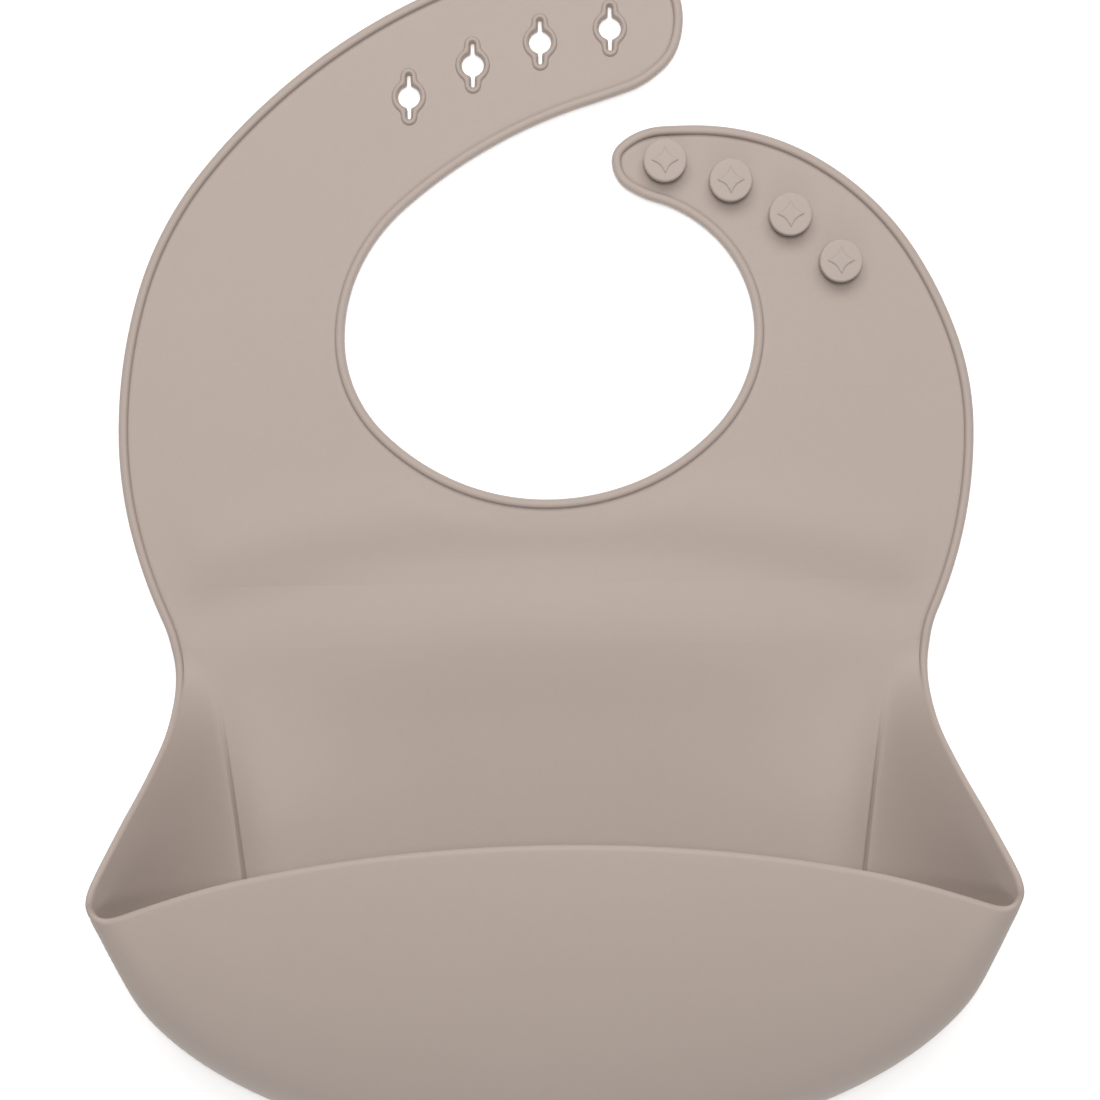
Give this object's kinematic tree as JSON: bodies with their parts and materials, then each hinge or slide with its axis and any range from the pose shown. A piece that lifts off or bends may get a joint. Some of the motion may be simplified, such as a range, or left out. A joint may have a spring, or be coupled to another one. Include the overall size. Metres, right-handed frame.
{
  "type": "silicone bib",
  "caption": "Moulded silicone bib with an open crumb pocket, a raised rim, and two straps that close behind the neck with buttons in slots.",
  "frame": {"origin": "centre of the neck opening on the back plane of the sheet", "axes": "+Y up the chest towards the straps, +Z out of the front of the sheet, +X towards the button strap"},
  "size_m": [0.219, 0.2944, 0.042],
  "materials": {
    "silicone_sheet": "matte moulded silicone",
    "silicone_rim": "matte moulded silicone",
    "silicone_pocket": "matte moulded silicone",
    "silicone_button": "matte moulded silicone"
  },
  "bodies": {
    "lower_bib": {"lower_panel": "silicone_sheet", "left_gusset": "silicone_pocket", "right_gusset": "silicone_pocket"},
    "pocket": {"pocket_front": "silicone_pocket", "pocket_lip": "silicone_pocket", "pocket_left_side": "silicone_pocket", "pocket_right_side": "silicone_pocket", "pocket_bottom": "silicone_pocket"},
    "waist": {"waist_panel": "silicone_sheet", "left_waist_rim": "silicone_rim", "right_waist_rim": "silicone_rim"},
    "chest": {"chest_panel": "silicone_sheet", "neck_rim": "silicone_rim", "left_chest_rim": "silicone_rim", "right_chest_rim": "silicone_rim"},
    "slot_strap_root": {"slot_strap_root_panel": "silicone_sheet", "slot_strap_root_inner_rim": "silicone_rim", "slot_strap_root_outer_rim": "silicone_rim"},
    "slot_strap_middle": {"slot_strap_middle_panel": "silicone_sheet", "slot_strap_middle_inner_rim": "silicone_rim", "slot_strap_middle_outer_rim": "silicone_rim", "slot_collar_4": "silicone_rim"},
    "slot_strap_end": {"slot_strap_end_panel": "silicone_sheet", "slot_strap_end_rim": "silicone_rim", "slot_collar_1": "silicone_rim", "slot_collar_2": "silicone_rim", "slot_collar_3": "silicone_rim"},
    "button_strap_root": {"button_strap_root_panel": "silicone_sheet", "button_strap_root_inner_rim": "silicone_rim", "button_strap_root_outer_rim": "silicone_rim", "button_3": "silicone_button", "button_4": "silicone_button"},
    "button_strap_end": {"button_strap_end_panel": "silicone_sheet", "button_strap_end_rim": "silicone_rim", "button_1": "silicone_button", "button_2": "silicone_button"}
  },
  "joints": [
    {"name": "chest_fold", "type": "hinge", "parent": "lower_bib", "child": "waist", "pos_m": [0, -0.07, 0.0016], "axis": [1, 0, 0], "range_deg": [-35, 50], "stiffness_Nm_per_rad": 0.03},
    {"name": "chest_fold_upper", "type": "hinge", "parent": "waist", "child": "chest", "pos_m": [0, -0.056, 0.0016], "axis": [1, 0, 0], "range_deg": [-35, 50], "stiffness_Nm_per_rad": 0.03},
    {"name": "pocket_open", "type": "hinge", "parent": "lower_bib", "child": "pocket", "pos_m": [0, -0.188, 0], "axis": [1, 0, 0], "range_deg": [0, 15], "stiffness_Nm_per_rad": 0.12, "deforming": ["left_gusset", "right_gusset"]},
    {"name": "slot_strap_curl", "type": "hinge", "parent": "chest", "child": "slot_strap_root", "pos_m": [-0.075, 0, 0.0016], "axis": [1, 0, 0], "range_deg": [-30, 30], "stiffness_Nm_per_rad": 0.01},
    {"name": "slot_strap_curl_middle", "type": "hinge", "parent": "slot_strap_root", "child": "slot_strap_middle", "pos_m": [-0.05803, 0.03914, 0.0016], "axis": [0.829, -0.5592, 0], "range_deg": [-30, 30], "stiffness_Nm_per_rad": 0.01},
    {"name": "slot_strap_curl_end", "type": "hinge", "parent": "slot_strap_middle", "child": "slot_strap_end", "pos_m": [-0.02622, 0.0649, 0.0016], "axis": [0.3746, -0.9272, 0], "range_deg": [-30, 30], "stiffness_Nm_per_rad": 0.008},
    {"name": "button_strap_curl", "type": "hinge", "parent": "chest", "child": "button_strap_root", "pos_m": [0.075, 0, 0.0016], "axis": [1, 0, 0], "range_deg": [-30, 30], "stiffness_Nm_per_rad": 0.01},
    {"name": "button_strap_curl_end", "type": "hinge", "parent": "button_strap_root", "child": "button_strap_end", "pos_m": [0.05127, 0.03117, 0.0016], "axis": [0.8545, 0.5195, 0], "range_deg": [-30, 30], "stiffness_Nm_per_rad": 0.008}
  ],
  "couplings": [
    {"joint": "chest_fold_upper", "follows": "chest_fold", "ratio": 1},
    {"joint": "slot_strap_curl_middle", "follows": "slot_strap_curl", "ratio": 1},
    {"joint": "slot_strap_curl_end", "follows": "slot_strap_curl", "ratio": 1},
    {"joint": "button_strap_curl_end", "follows": "button_strap_curl", "ratio": 1}
  ]
}
